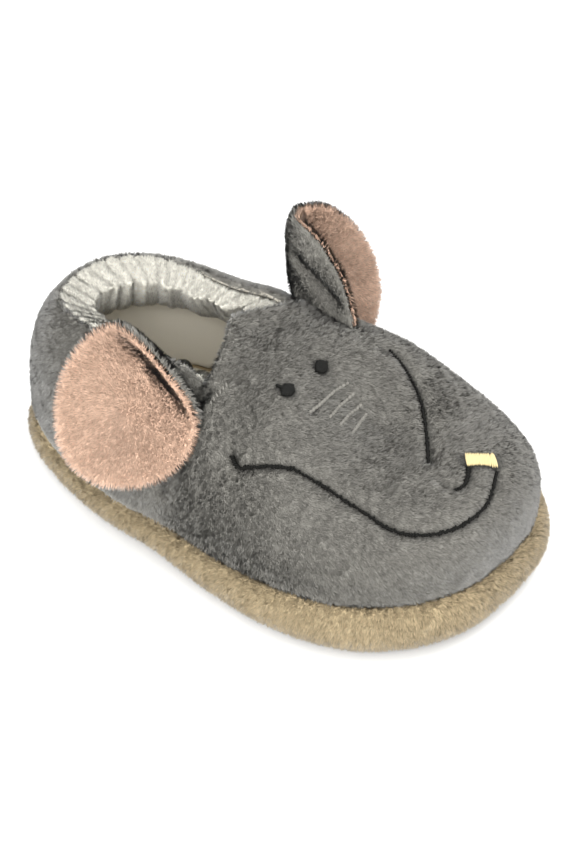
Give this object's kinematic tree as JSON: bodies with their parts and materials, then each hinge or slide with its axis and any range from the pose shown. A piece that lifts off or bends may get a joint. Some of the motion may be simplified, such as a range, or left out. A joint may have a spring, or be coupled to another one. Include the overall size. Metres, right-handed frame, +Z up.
{
  "type": "animal slipper",
  "caption": "Baby's soft plush slipper with an elephant's head: padded sole, hollow domed upper with V notches, gathered heel cuff and two folded ears; right foot.",
  "frame": {"origin": "on the floor, under the middle of the heel, on the sole's flat", "axes": "+Z up, -Y towards the toe, -X towards the wearer's right, the outer side"},
  "size_m": [0.0806, 0.126, 0.0597],
  "materials": {
    "grey_plush": "short pile plush",
    "tan_plush": "short pile plush",
    "cream_plush": "gathered short pile plush",
    "cream_lining": "brushed lining",
    "pink_plush": "short pile plush"
  },
  "bodies": {
    "root": {"sole": "tan_plush", "insole": "cream_lining", "upper": "grey_plush", "collar_cuff": "cream_plush", "ear_lateral_back": "grey_plush", "ear_lateral_face": "pink_plush", "ear_medial_back": "grey_plush", "ear_medial_face": "pink_plush"}
  },
  "joints": []
}
